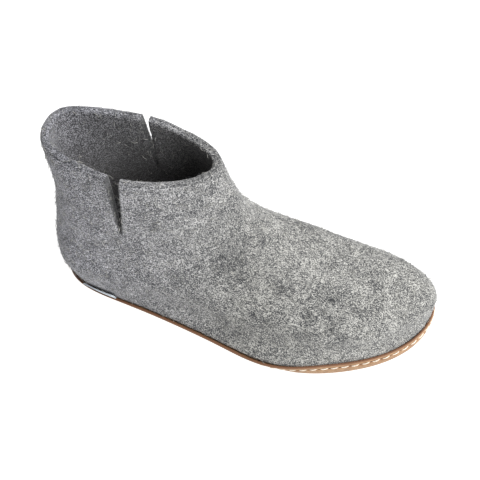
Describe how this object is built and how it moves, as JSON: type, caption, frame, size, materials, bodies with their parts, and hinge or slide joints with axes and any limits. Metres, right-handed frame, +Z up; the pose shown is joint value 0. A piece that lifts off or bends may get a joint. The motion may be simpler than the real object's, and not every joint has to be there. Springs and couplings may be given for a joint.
{
  "type": "felt slipper boot",
  "caption": "Ankle-high felted wool slipper boot for the right foot, with a slit at each side of the collar, a felt insole and a leather sole turned up as a low stitched rim.",
  "frame": {"origin": "middle of the boot's floor rectangle, on the plane that the sole stands on", "axes": "+X from heel to toe, +Y to the inner side of the right foot, +Z up"},
  "size_m": [0.2658, 0.1028, 0.1406],
  "materials": {
    "felt": "matt heather grey felted wool, about 6.5 mm thick, with a fine nap",
    "footbed": "matt darker grey felt",
    "leather": "natural tan leather with a darker cut edge",
    "tape": "plain light blue-grey woven tape"
  },
  "bodies": {
    "root": {"upper": "felt", "insole": "footbed", "outsole": "leather", "side_tag": "tape"}
  },
  "joints": []
}
